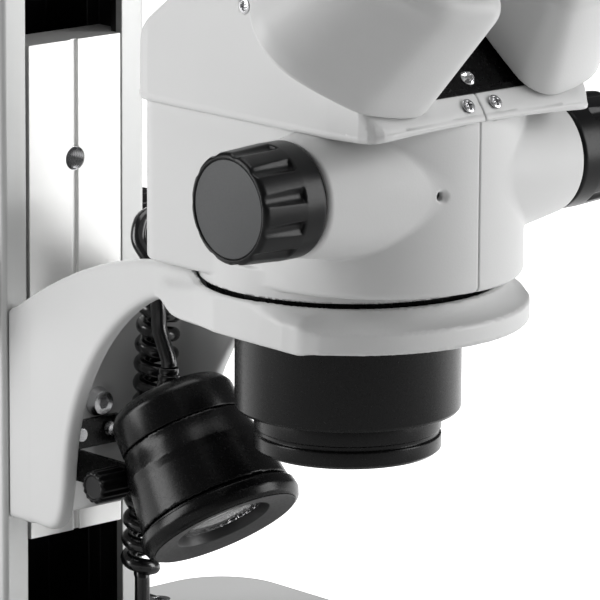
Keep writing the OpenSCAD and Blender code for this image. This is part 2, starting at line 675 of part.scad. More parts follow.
module zoom_lens_carrier() color(alu) at_axis() translate([0, 0, 84]) {
  difference() {
    translate([-30, -27, 0]) cube([60, 54, 5]);
    for (y = [-22, 22]) translate([0, y, -over]) cylinder(h = 8, r = 3 + run);
    for (s = [-1, 1]) translate([s * beam_x, 0, -over]) cylinder(h = 8, r = 9);
  }
  for (s = [-1, 1]) translate([s * beam_x, 0, -8]) difference() {
    cylinder(h = 24, r = 12);
    translate([0, 0, -over]) cylinder(h = 30, r = 9);
  }
}

module zoom_shaft() color(steel) at_axis() translate([0, zoom_y, zoom_z]) along_x() {
  translate([0, 0, 8 - boss_l - knob_len]) cylinder(h = boss_l + boss_r + 2 * knob_len - 16, r = 4);
  translate([0, 0, -9]) cylinder(h = 18, r = 7);
}

module zoom_knob(side) color(black) at_axis()
  translate([side > 0 ? boss_r + 0.4 : -boss_l - 0.4, zoom_y, zoom_z])
  rotate([0, side * 90, 0]) difference() {
    rotate_extrude() polygon([[4, 0], [18.8, 0], [19.1, 0.6], [19, 9.5], [18.2, 24.6], [17, 26.4],
      [16.6, 26.6], [16.4, 26.2], [4, 26.2]]);
    for (k = [0:10]) rotate(360 / 11 * k) translate([19.6, 0, 10.5]) cylinder(h = 20, r = 2.2, $fn = 24);
  }

module head_screws() color(steel) at_axis() {
  for (s = [-1, 1]) {
    translate([s * 6, slope_y, slope_z]) rotate([55, 0, 0]) translate([0, -4.6, -0.1])
      screw(2.4, 0.9, 1.5, 4.8);
    translate([s * (top_w + 0.1), -4.4, 156]) rotate([0, s * 90, 0]) screw(2.4, 0.5, 1.5, 5);
  }
  slope_frame() translate([dome_x, dome_up, -1.8]) screw(2.8, 2.2, 1.5, 6, 1.2);
}

module objective_housing() color(black) at_axis() rotate_extrude($fn = 96)
  polygon([[28, 14], [37.4, 14], [mount_r, 14.6], [mount_r, 56.3], [47.4, 56.3], [47.4, collar_z],
    [34, collar_z], [34, 18], [28, 18]]);

module objective_ring() color(black) at_axis() rotate_extrude($fn = 96)
  polygon([[26, 0], [30, 0], [31.5, 1], [31.5, 6], [30.7, 6.4], [30.7, 7.6], [31.5, 8], [31.5, 14],
    [24, 14], [24, 5], [26, 5]]);

module objective_lens() color(glass) at_axis() translate([0, 0, 7]) cylinder(h = 4, r = 24);

// ---- binocular part: one housing on each side, axis square to the mounting face ----

eye_up = 28;                // height of the eyepiece axis on the mounting face
turn_x = 44;                // turning axis of the housing
turn_up = 18;
pot_h = 45;
// Discs whose hull is the housing: [x, up, radius] at the mounting face, then at the front
pot_base = [[31.4, 5.1, 12.1], [44.4, 12.4, 16.5], [52.3, 29.4, 23.3], [37.3, 33.8, 21.8]];
pot_front = [[20.1, 9.6, 9.5], [32.1, 17, 15.2], [38.6, 30.4, 20.4], [30, 33, 20.5]];

module pot_discs(discs, side, z, inset) for (c = discs)
  translate([side * c[0], c[1], z]) cylinder(h = 0.4, r = c[2] - inset, $fn = 40);

module pot_shape(side, inset) hull() {
  pot_discs(pot_base, side, 0.4 + inset, 1 + inset);
  pot_discs(pot_base, side, 1.6 + inset, inset);
  pot_discs(pot_front, side, pot_h - 7, inset);
  pot_discs(pot_front, side, pot_h - 2.4 - inset / 2, 2.2 + inset);
  pot_discs(pot_front, side, pot_h - 0.4 - inset, 7 + inset);
}

module prism_housing(side) color(cast_white) at_axis() slope_frame() difference() {
  union() {
    difference() {
      pot_shape(side, 0);
      pot_shape(side, 3);
    }
    translate([side * turn_x, turn_up, -6]) ring_solid(9, 13.7, 10.5);
    translate([side * eye_x, eye_up, pot_h - 4]) ring_solid(10, 19, 15.1);
    translate([side * eye_x, eye_up, pot_h + 5.9]) ring_solid(20, 17, 15.1);
  }
  translate([side * turn_x, turn_up, -1]) cylinder(h = 8, r = 10.5);
  translate([side * eye_x, eye_up, pot_h - 8]) cylinder(h = 9, r = 15.1);
}

module prism(side) color(glass) at_axis() slope_frame() {
  translate([side * 40 - 11, 13, 3.4]) cube([22, 22, 22]);
}

module diopter_ring(side) color(black) at_axis() slope_frame()
  translate([side * eye_x, eye_up, pot_h + 8]) difference() {
    cylinder(h = 12, r = 19.6);
    translate([0, 0, -over]) cylinder(h = 14, r = 17 + gap);
    for (k = [0:17]) rotate(20 * k) translate([20.1, 0, 2]) cylinder(h = 8, r = 1, $fn = 16);
  }

module eyepiece(side) color(black) at_axis() slope_frame()
  translate([side * eye_x, eye_up, pot_h + 25.9]) difference() {
    union() {
      translate([0, 0, -22]) cylinder(h = 22.1, r = 15);
      rotate_extrude() polygon(concat([[0, 0], [19, 0], [20.5, 1.5], [20.5, 16]],
        bez([20.5, 16.5], [20.5, 22], [21.5, 27], [22.5, 31], 6), [[21, 31.4], [17.5, 24], [0, 24]]));
    }
    translate([0, 0, -23]) cylinder(h = 40, r = 12.5);
    translate([0, 0, 22]) cylinder(h = 12, r = 11);
  }

base_housing();
base_bottom_plate();
rubber_feet();
stand_screws();
stage_plate();
stage_led_panel();
control_board();
power_inlet();
lamp_socket();
switch_body();
power_rocker();
dimmer_knob(-1);  // dimmer_knob_left
dimmer_knob(1);  // dimmer_knob_right
stage_clip(-1);  // stage_clip_left
stage_clip(1);  // stage_clip_right
column();
column_top_cap();
column_foot();
pinion_bushes();
slider();
focus_rack();
head_holder_arm();
carriage_screws();
lamp_bracket();
pinion_shaft();
focus_knob(-1);  // focus_knob_left
focus_knob(1);  // focus_knob_right
tension_collar();
ring_clamp_screw();
lamp_housing();
lamp_rear_cap();
lamp_bezel();
lamp_reflector();
lamp_glass();
lamp_tilt_knob();
lamp_cord_lead();
lamp_cord_coil();
lamp_plug();
lower_cover(-1);  // head_cover_left
lower_cover(1);  // head_cover_right
upper_cover(-1);  // head_top_left
upper_cover(1);  // head_top_right
head_frame();
head_screws();
front_plate();
objective_housing();
objective_ring();
objective_lens();
zoom_knob(-1);  // zoom_knob_left
zoom_knob(1);  // zoom_knob_right
zoom_shaft();
zoom_lens_carrier();
prism_housing(-1);  // prism_housing_left
prism_housing(1);  // prism_housing_right
prism(-1);  // prism_left
prism(1);  // prism_right
diopter_ring(-1);  // diopter_ring_left
diopter_ring(1);  // diopter_ring_right
eyepiece(-1);  // eyepiece_left
eyepiece(1);  // eyepiece_right
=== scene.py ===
"""Looks of the stereo microscope.  Shapes are in millimetres from the centre of the objective's
lower rim (+X user's right, +Y towards the column, +Z up) and are placed with world()."""
import math

import bmesh
import bpy
import numpy as np
from mathutils import Matrix, Vector

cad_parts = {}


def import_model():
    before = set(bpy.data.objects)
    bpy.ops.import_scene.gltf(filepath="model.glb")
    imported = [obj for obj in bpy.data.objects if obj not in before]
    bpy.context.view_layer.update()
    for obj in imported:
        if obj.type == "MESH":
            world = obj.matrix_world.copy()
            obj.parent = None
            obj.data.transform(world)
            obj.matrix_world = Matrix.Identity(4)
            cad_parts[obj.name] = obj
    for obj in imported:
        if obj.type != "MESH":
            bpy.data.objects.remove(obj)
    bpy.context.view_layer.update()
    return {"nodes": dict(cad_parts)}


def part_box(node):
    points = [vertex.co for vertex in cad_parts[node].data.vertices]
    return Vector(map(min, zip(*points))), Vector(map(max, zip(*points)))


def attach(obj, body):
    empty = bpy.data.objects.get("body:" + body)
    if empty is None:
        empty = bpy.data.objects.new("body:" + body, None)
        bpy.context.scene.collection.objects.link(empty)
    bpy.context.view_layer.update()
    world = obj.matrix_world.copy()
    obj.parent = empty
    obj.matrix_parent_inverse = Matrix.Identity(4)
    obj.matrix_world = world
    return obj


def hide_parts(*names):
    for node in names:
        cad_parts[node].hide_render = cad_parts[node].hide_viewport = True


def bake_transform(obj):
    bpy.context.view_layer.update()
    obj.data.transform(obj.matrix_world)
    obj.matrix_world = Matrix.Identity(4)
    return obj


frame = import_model()

MM = 0.001                      # metres in a millimetre
ring_lo, ring_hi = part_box("objective_ring")
AXIS_Y = (ring_lo.y + ring_hi.y) / 2
RIM_Z = ring_lo.z
ORIGIN = np.array([0.0, AXIS_Y, RIM_Z])
SLOPE = math.radians(45)        # inclined face that carries the eyepieces
SLOPE_Y, SLOPE_Z = -59.0, 129.4


def world(p):
    """Metres in the frame of a point in millimetres from the objective's rim."""
    return np.asarray(p, float) * MM + ORIGIN


def on_slope(x, up, out):
    """Point on the inclined face, up along it and out from it."""
    c, s = math.cos(SLOPE), math.sin(SLOPE)
    return np.array([x, SLOPE_Y + up * c - out * s, SLOPE_Z + up * s + out * c])


# ---------------------------------------------------------------- camera

scene = bpy.context.scene
camera = bpy.data.objects.new("camera", bpy.data.cameras.new("camera"))
scene.collection.objects.link(camera)
scene.camera = camera
camera.data.sensor_width = 36
LENS, FAR_CLIP = 326.63, 50
CAMERA_PLACE = (-1202.6, -1299.3, 448.4)
AZIMUTH, ELEVATION, ROLL = map(math.radians, (-42.263, 12.666, 0.322))
camera.data.lens = LENS
back = Vector((math.sin(AZIMUTH) * math.cos(ELEVATION), -math.cos(AZIMUTH) * math.cos(ELEVATION),
               math.sin(ELEVATION)))
right = Vector((math.cos(AZIMUTH), math.sin(AZIMUTH), 0))
up = back.cross(right)
right, up = (right * math.cos(ROLL) + up * math.sin(ROLL), up * math.cos(ROLL) - right * math.sin(ROLL))
turn = Matrix((right, up, back)).transposed().to_4x4()
camera.matrix_world = Matrix.Translation(Vector(world(CAMERA_PLACE))) @ turn
camera.data.clip_end = FAR_CLIP

# ---------------------------------------------------------------- meshes


def add(name, points, faces, material, body, normals=None, crease=None, replaces=()):
    """A mesh piece from points in millimetres."""
    me = bpy.data.meshes.new(name)
    faces = faces.tolist() if isinstance(faces, np.ndarray) else faces
    me.from_pydata(world(points).tolist(), [], faces)
    me.materials.append(material)
    me.shade_smooth()
    if normals is not None:
        me.normals_split_custom_set_from_vertices(normals.tolist())
    if crease is not None:
        me.set_sharp_from_angle(angle=math.radians(crease))
    ob = bpy.data.objects.new(name, me)
    scene.collection.objects.link(ob)
    if body:
        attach(ob, body)
    if replaces:
        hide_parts(*replaces)
    return ob


def rounded(corners, closed=False, steps=4):
    """Points of an outline whose corners (a, b, radius) are rounded off."""
    c = [(*p, 0)[:3] for p in corners]
    out = []
    n = len(c)
    for i, (x, y, r) in enumerate(c):
        if r <= 0 or (not closed and i in (0, n - 1)):
            out.append((x, y))
            continue
        p, a, b = (np.array(q[:2], float) for q in (c[i], c[i - 1], c[(i + 1) % n]))
        u, v = a - p, b - p
        lu, lv = np.linalg.norm(u), np.linalg.norm(v)
        u, v = u / lu, v / lv
        half = math.acos(max(-1, min(1, float(u @ v)))) / 2
        if half > math.radians(88):
            out.append((x, y))
            continue
        cut = min(r / math.tan(half), lu * 0.48, lv * 0.48)
        r = cut * math.tan(half)
        m = (u + v) / np.linalg.norm(u + v)
        o = p + m * (r / math.sin(half))
        s, e = p + u * cut - o, p + v * cut - o
        sweep = math.atan2(s[0] * e[1] - s[1] * e[0], float(s @ e))
        for k in range(steps + 1):
            t = sweep * k / steps
            out.append((o[0] + s[0] * math.cos(t) - s[1] * math.sin(t),
                        o[1] + s[0] * math.sin(t) + s[1] * math.cos(t)))
    return np.array(out)


def lathe(profile, base, axis, segments=96, ribs=None):
    """Points and faces of a profile (radius, distance along axis) turned about the axis."""
    axis = np.array(axis, float) / np.linalg.norm(axis)
    e1 = np.cross(axis, [0, 0, 1.0] if abs(axis[2]) < 0.9 else [1.0, 0, 0])
    e1 /= np.linalg.norm(e1)
    e2 = np.cross(axis, e1)
    a = np.linspace(0, 2 * math.pi, segments, endpoint=False)
    ring = np.outer(np.cos(a), e1) + np.outer(np.sin(a), e2)
    r, t = np.array(profile, float).T
    scale = 1 if ribs is None else ribs(a[None, :], t[:, None])
    points = (np.array(base) + (r[:, None] * scale)[..., None] * ring[None] + t[:, None, None] * axis)
    n, m = len(r), segments
    i, j = np.meshgrid(np.arange(n - 1), np.arange(m), indexing="ij")
    k = (j + 1) % m
    faces = np.stack([i * m + j, i * m + k, (i + 1) * m + k, (i + 1) * m + j], -1).reshape(-1, 4)
    return points.reshape(-1, 3), faces


def turned(name, corners, base, axis, material, body, replaces=(), segments=96, ribs=None,
           closed=False, crease=35):
    """Turned piece from corners (radius, distance along the axis, rounding)."""
    pts, faces = lathe(rounded(corners, closed), base, axis, segments, ribs)
    if closed:
        n = len(pts) // segments
        j = np.arange(segments)
        k = (j + 1) % segments
        last = (n - 1) * segments
        faces = np.vstack([faces, np.stack([last + j, last + k, k, j], -1)])
    ob = add(name, pts, faces, material, body, crease=crease, replaces=replaces)
    tidy(ob)
    return ob


def tidy(ob):
    """Merges points on the axis, drops empty faces and turns the faces outwards."""
    bm = bmesh.new()
    bm.from_mesh(ob.data)
    bmesh.ops.remove_doubles(bm, verts=bm.verts, dist=1e-6)
    bmesh.ops.dissolve_degenerate(bm, dist=1e-7, edges=bm.edges)
    bmesh.ops.recalc_face_normals(bm, faces=bm.faces)
    bm.to_mesh(ob.data)
    bm.free()


def tube(points, radius, sides=12):
    """Points and faces of a closed round tube along the points."""
    p = np.array(points, float)
    t = np.gradient(p, axis=0)
    t /= np.linalg.norm(t, axis=1)[:, None]
    u = np.cross(t[0], [0, 1.0, 0.2])
    rings = []
    for k in range(len(p)):
        u = u - t[k] * (u @ t[k])
        u /= np.linalg.norm(u)
        v = np.cross(t[k], u)
        a = np.linspace(0, 2 * math.pi, sides, endpoint=False)
        rings.append(p[k] + radius * (np.outer(np.cos(a), u) + np.outer(np.sin(a), v)))
    n = len(p)
    i, j = np.meshgrid(np.arange(n - 1), np.arange(sides), indexing="ij")
    k = (j + 1) % sides
    faces = np.stack([i * sides + j, i * sides + k, (i + 1) * sides + k, (i + 1) * sides + j], -1)
    faces = faces.reshape(-1, 4).tolist()
    faces.append(list(range(sides))[::-1])
    faces.append([(n - 1) * sides + j for j in range(sides)])
    return np.concatenate(rings), faces


def spline(points, per=16):
    """Evenly smooth curve through the points."""
    p = np.array(points, float)
    q = np.vstack([2 * p[0] - p[1], p, 2 * p[-1] - p[-2]])
    out = []
    for i in range(len(p) - 1):
        a, b, c, d = q[i:i + 4]
        for t in np.arange(per) / per:
            out.append(0.5 * (2 * b + (c - a) * t + (2 * a - 5 * b + 4 * c - d) * t * t
                              + (3 * b - a - 3 * c + d) * t ** 3))
    out.append(p[-1])
    return np.array(out)


# ---------------------------------------------------------------- solids from distance functions


def smin(a, b, k):
    """Union of two distances, with a fillet about k wide."""
    h = np.maximum(k - np.abs(a - b), 0) / k
    return np.minimum(a, b) - h * h * k / 4


def smax(a, b, k):
    """Intersection of two distances, with a round about k wide."""
    return -smin(-a, -b, k)


def slab(d, z, z0, z1, r):
    """Outline distance d carried from z0 to z1, edges rounded by r."""
    q = np.abs(z - (z0 + z1) / 2) - (z1 - z0) / 2 + r
    d = d + r
    return np.minimum(np.maximum(d, q), 0) + np.hypot(np.maximum(d, 0), np.maximum(q, 0)) - r


def box2(x, y, w, h, r):
    """Distance to a rectangle of half sizes w and h with corners of radius r."""
    qx, qy = np.abs(x) - w + r, np.abs(y) - h + r
    return np.minimum(np.maximum(qx, qy), 0) + np.hypot(np.maximum(qx, 0), np.maximum(qy, 0)) - r


def polygon(x, y, points):
    """Distance to a closed polygon."""
    v = np.array(points, float)
    w = np.roll(v, -1, 0)
    best = np.full(x.shape, 1e9)
    inside = np.zeros(x.shape, bool)
    for (ax, ay), (bx, by) in zip(v, w):
        ex, ey = bx - ax, by - ay
        px, py = x - ax, y - ay
        t = np.clip((px * ex + py * ey) / (ex * ex + ey * ey + 1e-12), 0, 1)
        best = np.minimum(best, (px - ex * t) ** 2 + (py - ey * t) ** 2)
        if ay != by:
            hit = ((ay > y) != (by > y)) & (x < ax + ex * (y - ay) / ey)
            inside ^= hit
    d = np.sqrt(best)
    return np.where(inside, -d, d)


def bezier(a, b, c, d, n=10):
    """Points of a cubic curve."""
    t = np.linspace(0, 1, n + 1)[:, None]
    s = 1 - t
    a, b, c, d = (np.array(q, float) for q in (a, b, c, d))
    return (s ** 3 * a + 3 * s * s * t * b + 3 * s * t * t * c + t ** 3 * d).tolist()


def surface(f, lo, hi, h):
    """Quads on f = 0: one point per grid cell that f crosses, pulled onto the true surface."""
    lo, hi = np.array(lo, float), np.array(hi, float)
    blocks = np.ceil((hi - lo) / h / 8).astype(int) + 1
    lo = lo - ((blocks * 8 * h) - (hi - lo)) / 2
    n = blocks * 8
    centres = np.stack(np.meshgrid(*[np.arange(b) for b in blocks], indexing="ij"), -1).reshape(-1, 3)
    fc = f(lo + (centres * 8 + 3.5) * h)
    value = np.empty(n, np.float32)
    value[...] = np.repeat(np.repeat(np.repeat(np.sign(fc).reshape(blocks), 8, 0), 8, 1), 8, 2)
    near = centres[np.abs(fc) < 8 * h * 0.87 * 1.35]
    cell = np.stack(np.meshgrid(*[np.arange(8)] * 3, indexing="ij"), -1).reshape(-1, 3)
    for part in np.array_split(near, max(1, len(near) // 400)):
        index = (part[:, None, :] * 8 + cell[None]).reshape(-1, 3)
        value[tuple(index.T)] = f(lo + index * h)
    value[value == 0] = 1e-9
    inside = value < 0
    count = np.zeros(n - 1, np.int8)
    for o in np.ndindex(2, 2, 2):
        count += inside[o[0]:n[0] - 1 + o[0], o[1]:n[1] - 1 + o[1], o[2]:n[2] - 1 + o[2]]
    active = (count > 0) & (count < 8)
    cells = np.argwhere(active)
    number = np.full(n - 1, -1)
    number[active] = np.arange(len(cells))
    total, weight = np.zeros((len(cells), 3)), np.zeros(len(cells))
    for axis in range(3):
        for du, dv in np.ndindex(2, 2):
            o = np.zeros(3, int)
            o[(axis + 1) % 3], o[(axis + 2) % 3] = du, dv
            e = o.copy()
            e[axis] = 1
            a, b = value[tuple((cells + o).T)], value[tuple((cells + e).T)]
            m = (a < 0) != (b < 0)
            q = (cells + o).astype(float)
            q[:, axis] += np.where(m, a / np.where(m, a - b, 1), 0)
            total[m] += q[m]
            weight[m] += 1
    points = lo + total / weight[:, None] * h
    faces = []
    for axis in range(3):
        u, v = (axis + 1) % 3, (axis + 2) % 3
        a = np.moveaxis(inside, axis, 0)
        edge = np.argwhere(np.moveaxis(a[:-1] != a[1:], 0, axis))
        edge = edge[(edge[:, u] > 0) & (edge[:, v] > 0) & (edge[:, u] < n[u] - 1) & (edge[:, v] < n[v] - 1)]
        eu, ev = np.eye(3, dtype=int)[u], np.eye(3, dtype=int)[v]
        quad = np.stack([number[tuple((edge - k).T)] for k in (eu + ev, ev, 0 * eu, eu)], 1)
        flip = ~inside[tuple(edge.T)]
        quad[flip] = quad[flip][:, ::-1]
        faces.append(quad)
    faces = np.concatenate(faces)
    faces = faces[(faces >= 0).all(1)]

    def slope(p):
        return np.stack([f(p + d) - f(p - d) for d in np.eye(3) * 0.04], 1) / 0.08

    for _ in range(3):
        g = slope(points)
        step = f(points)[:, None] * g / np.maximum((g * g).sum(1), 0.2)[:, None]
        points = points - np.clip(step, -h * 0.6, h * 0.6)
    g = slope(points)
    return points, faces, g / np.maximum(np.linalg.norm(g, axis=1), 1e-6)[:, None]


def solid(name, f, lo, hi, h, material, body, replaces=()):
    """Piece from a distance function within a box, on a grid of h."""
    points, faces, normals = surface(f, lo, hi, h)
    return add(name, points, faces, material, body, normals=normals, replaces=replaces)


# ---------------------------------------------------------------- materials


class Nodes:
    """Short way to write a node tree."""

    def __init__(self, name):
        self.material = bpy.data.materials.new(name)
        self.material.use_nodes = True
        self.tree = self.material.node_tree
        self.shader = self.tree.nodes["Principled BSDF"]

    def new(self, kind, **values):
        n = self.tree.nodes.new(kind)
        for k, v in values.items():
            if hasattr(n, k):
                setattr(n, k, v)
            else:
                n.inputs[k.replace("_", " ")].default_value = v
        return n

    def link(self, a, b):
        self.tree.links.new(a, b)

    def set(self, **values):
        for k, v in values.items():
            self.shader.inputs[k.replace("_", " ")].default_value = v
        return self

    def noise(self, scale, stretch=(1, 1, 1), detail=3.0, source="Object"):
        place = self.new("ShaderNodeTexCoord")
        mapping = self.new("ShaderNodeMapping")
        mapping.inputs["Scale"].default_value = stretch
        self.link(place.outputs[source], mapping.inputs["Vector"])
        n = self.new("ShaderNodeTexNoise", Scale=scale, Detail=detail)
        self.link(mapping.outputs["Vector"], n.inputs["Vector"])
        return n.outputs["Fac"]

    def ramp(self, fac, stops):
        n = self.new("ShaderNodeValToRGB")
        r = n.color_ramp
        for k, (pos, value) in enumerate(stops):
            e = r.elements[k] if k < 2 else r.elements.new(pos)
            e.position = pos
            e.color = (*value, 1) if hasattr(value, "__len__") else (value, value, value, 1)
        self.link(fac, n.inputs["Fac"])
        return n.outputs["Color"]

    def bump(self, height, strength, distance, edge=0.0):
        n = self.new("ShaderNodeBump", Strength=strength, Distance=distance)
        self.link(height, n.inputs["Height"])
        if edge:
            b = self.new("ShaderNodeBevel", samples=4, Radius=edge)
            self.link(b.outputs["Normal"], n.inputs["Normal"])
        self.link(n.outputs["Normal"], self.shader.inputs["Normal"])


def coat(name, colour, rough, grain, depth, vary=0.03, edge=0.0, metallic=0.0, stretch=(1, 1, 1),
         specular=0.5, clear=0.0):
    """Paint or plastic: a fine grain in the surface and slight changes of tone."""
    n = Nodes(name)
    n.set(Metallic=metallic, Specular_IOR_Level=specular, Coat_Weight=clear, Coat_Roughness=0.25)
    c = np.array(colour)
    tone = n.noise(18, detail=4)
    n.link(n.ramp(tone, [(0.3, c * (1 - vary)), (0.7, np.minimum(c * (1 + vary), 1))]),
           n.shader.inputs["Base Color"])
    g = n.noise(grain, stretch)
    n.link(n.ramp(g, [(0.25, rough * 0.85), (0.75, min(1, rough * 1.15))]), n.shader.inputs["Roughness"])
    n.bump(g, 0.35, depth, edge)
    return n.material


white = coat("white_coat", (0.62, 0.622, 0.62), 0.42, 1400, 0.00008, vary=0.012, specular=0.45)
white_edge = coat("white_coat_edge", (0.62, 0.622, 0.62), 0.42, 1400, 0.00008, 0.012, edge=0.0018)
black = coat("black_satin", (0.003, 0.003, 0.0032), 0.26, 900, 0.00002, vary=0.15, edge=0.0004,
             specular=0.22)
knob_black = coat("black_plastic", (0.004, 0.0041, 0.0045), 0.33, 1500, 0.00004, vary=0.1, edge=0.0003,
                  specular=0.22)
knob_face = coat("dark_grey_face", (0.048, 0.05, 0.052), 0.55, 2600, 0.00004, vary=0.08)
cord_mat = coat("cord_black", (0.004, 0.004, 0.0045), 0.22, 500, 0.00004, vary=0.2, clear=0.3)
rubber = coat("rubber", (0.012, 0.012, 0.012), 0.75, 900, 0.00012, vary=0.15, edge=0.0004)
steel = coat("steel", (0.55, 0.55, 0.56), 0.22, 700, 0.00003, metallic=1, edge=0.0003)
chrome = coat("chrome", (0.75, 0.75, 0.76), 0.1, 300, 0.00001, metallic=1)
bronze = coat("bronze", (0.45, 0.28, 0.1), 0.35, 900, 0.00003, metallic=1)
board = coat("solder_mask", (0.02, 0.12, 0.05), 0.35, 600, 0.00003)
panel = coat("led_panel", (0.8, 0.8, 0.7), 0.5, 400, 0.00002)
bezel_face = coat("bezel_face", (0.02, 0.02, 0.021), 0.42, 900, 0.00003, vary=0.1)
lens_glass = Nodes("lens_glass").set(Base_Color=(1, 1, 1, 1), Roughness=0.02, Transmission_Weight=1.0,
                                     IOR=1.45).material

# ---------------------------------------------------------------- head: lower and upper covers

BODY_R, BODY_Y, BODY_BACK, BODY_LOW, BODY_CORNER = 48.8, -13.2, 52.5, 63.4, 10
COVER_WALL = 3
COLLAR_R, COLLAR_LOW, COLLAR_BORE = 50.1, 60.4, 47.2
LIP_Z, LIP_RISE = 118.4, 2.4      # the seam between the covers, and how far it rises to the front
ZOOM_Y, ZOOM_Z = -34.7, 98.3
TOP_FRONT, TOP_BACK, TOP_W = -65.5, 53.6, 51.0
BOSS = {-1: 58.0, 1: 56.0}


def lip(x, y):
    """Height of the seam between the lower and upper covers."""
    return LIP_Z + LIP_RISE * np.clip((-44 - y) / 21.5, 0, 1) * (1 - (x / 55) ** 2)


def body_plan(x, y):
    """Outline of the body: round in front, square with round corners behind."""
    ax = np.abs(x)
    front = np.hypot(x, y - BODY_Y) - BODY_R
    qx, qy = ax - BODY_R + BODY_CORNER, y - BODY_BACK + BODY_CORNER
    rear = np.minimum(np.maximum(qx, qy), 0) + np.hypot(np.maximum(qx, 0), np.maximum(qy, 0)) - BODY_CORNER
    return np.where(y < BODY_Y, front, rear)


def boss(x, y, z, side, grow=0.0):
    ax = x * side
    r = np.hypot(y - ZOOM_Y, z - ZOOM_Z)
    cone = (r - (25.9 - 0.05 * ax - 0.0011 * ax * ax) + grow) * 0.99
    return smax(smax(cone, ax - BOSS[side] + grow, 1.6), 8 - ax, 1)


def lower_cover(side):
    def f(p):
        x, y, z = p.T
        plan = body_plan(x, y)
        outer = slab(plan, z, BODY_LOW, 200, 2.2)
        collar = np.maximum(np.hypot(x, y) - COLLAR_R, COLLAR_LOW - z)
        collar = smax(collar, z - 70, 1)
        outer = smin(outer, collar, 0.7)
        outer = smin(outer, boss(x, y, z, side), 1.0)
        outer = smax(outer, z - lip(x, y) + 0.25, 0.5)
        inner = np.minimum(np.maximum(plan + COVER_WALL, BODY_LOW + COVER_WALL - z),
                           boss(x, y, z, side, COVER_WALL))
        inner = np.minimum(inner, np.maximum(np.hypot(x, y) - COLLAR_BORE, z - 70))
        d = np.maximum(outer, -inner)
        shaft = np.maximum(np.hypot(y - ZOOM_Y, z - ZOOM_Z) - 4.5, 40 - np.abs(x))
        hole = np.maximum(np.hypot(x + 15, z - 97) - np.clip(-58.7 - y + 1.1, 1.5, 3.2), y + 50)
        d = smax(smax(d, -shaft, 0.5), -hole, 0.4)
        return smax(d, 0.14 - side * x, 0.5)
    x0, x1 = (-60, 1) if side < 0 else (-1, 58)
    return solid("head_shell_" + ("left" if side < 0 else "right"), f, (x0, -66, 58), (x1, 55, 123), 0.85,
                 white, "head", ["head_cover_" + ("left" if side < 0 else "right")])


top_outline = rounded([(-TOP_W, -44, 3), (-49.4, TOP_FRONT, 8), (49.4, TOP_FRONT, 8), (TOP_W, -44, 3),
                       (TOP_W, TOP_BACK, 10), (-TOP_W, TOP_BACK, 10)], closed=True)
top_side = ([[TOP_FRONT, 105], [TOP_FRONT, 121.4], [-59, 129.4], [-10.4, 178], [-6, 182.2], [0, 184]]
            + bezier((4, 184), (16, 183), (26, 174), (34, 154)) + [[46, 145]]
            + bezier((47, 144), (52, 140), (53.6, 136), (53.6, 130), 5) + [[TOP_BACK, 105]])


def slope_coordinates(p):
    c, s = math.cos(SLOPE), math.sin(SLOPE)
    y, z = p[:, 1] - SLOPE_Y, p[:, 2] - SLOPE_Z
    return p[:, 0], y * c + z * s, z * c - y * s


def upper_cover(side):
    def f(p):
        x, y, z = p.T
        plan, prof = polygon(x, y, top_outline), polygon(y, z, top_side)
        outer = smax(plan, prof, 3.2)
        outer = smax(outer, lip(x, y) - z, 1.6)
        band = np.clip(1 - (z - lip(x, y)) / 2.2, 0, 1)
        outer = outer - 0.35 * np.sqrt(band)
        inner = smax(plan + COVER_WALL, prof + COVER_WALL, 2)
        d = np.maximum(outer, -inner)
        u, v, w = slope_coordinates(p)
        recess = np.maximum(box2(u, v - 23.2, 26, 23.4, 1.2), np.abs(w) - 8)
        d = smax(d, -recess, 0.9)
        d = smax(d, -np.maximum(np.hypot(np.abs(u) - 44, v - 18) - 5.6, np.abs(w) - 9), 0.4)
        sink = np.maximum(np.hypot(y + 4.4, z - 156) - np.clip(np.abs(x) - 48.2, 1.8, 3.2), 44 - np.abs(x))
        d = smax(d, -sink, 0.3)
        front = np.hypot(np.abs(x) - 6, v + 4.9) - np.clip(w + 2.2, 1.7, 3.2)
        d = smax(d, -np.maximum(front, w - 6), 0.3)
        return smax(d, 0.14 - side * x, 0.5)
    x0, x1 = (-52.5, 1) if side < 0 else (-1, 52.5)
    return solid("head_lid_" + ("left" if side < 0 else "right"), f, (x0, -67, 117), (x1, 55, 185.5), 0.85,
                 white, "head", ["head_top_" + ("left" if side < 0 else "right")])


for side in (-1, 1):
    lower_cover(side)
    upper_cover(side)

# ---------------------------------------------------------------- holder arm and its ring

ARM_X, FLARE, SLIDE_FRONT, ARM_LOW = 30.5, math.radians(5.74), 141.8, -47.0
ARM_WALL, RING_BORE, RING_SEAT = 6, 38.3, 50.6
ARM_BOLTS = (20, -8, -36)
wall_outline = ([[-3, 27.5]] + bezier((0, 27.5), (35, 49), (70, 62), (110, 62), 14)
                + bezier((110, 62), (135, 62), (150, 54.6), (172, 54.2), 8)
                + [[172, 47], [150, 46.4], [138, 43.4]]
                + bezier((132, 43.2), (116, 41.6), (104, 48.6), (91, 48))
                + bezier((89, 47.8), (66, 40), (38, 12), (35, -22), 14)
                + bezier((34.5, -26), (33, -40), (31, -47), (22, -47), 8) + [[-3, ARM_LOW]])
ring_outline = ([[38.3, 45.4], [59.6, 45.4], [60.4, 46.2], [60.4, 52.2], [59.9, 52.9]]
                + bezier((59.7, 53), (57, 53.8), (54.6, 55.6), (53, 58.2), 8)
                + [[52.6, 58.8], [51.6, 59.1], [50, 59], [50, 56], [38.3, 56]])
ring_side = [[20, 66], [36, 53], [41.5, 41], [47.5, 24.6], [51.4, 10], [52.2, -4], [52.3, -14], [51.6, -24],
             [48.9, -35.4], [40, -70]]
ring_plan = ring_side + [[-x, y] for x, y in ring_side[::-1]]


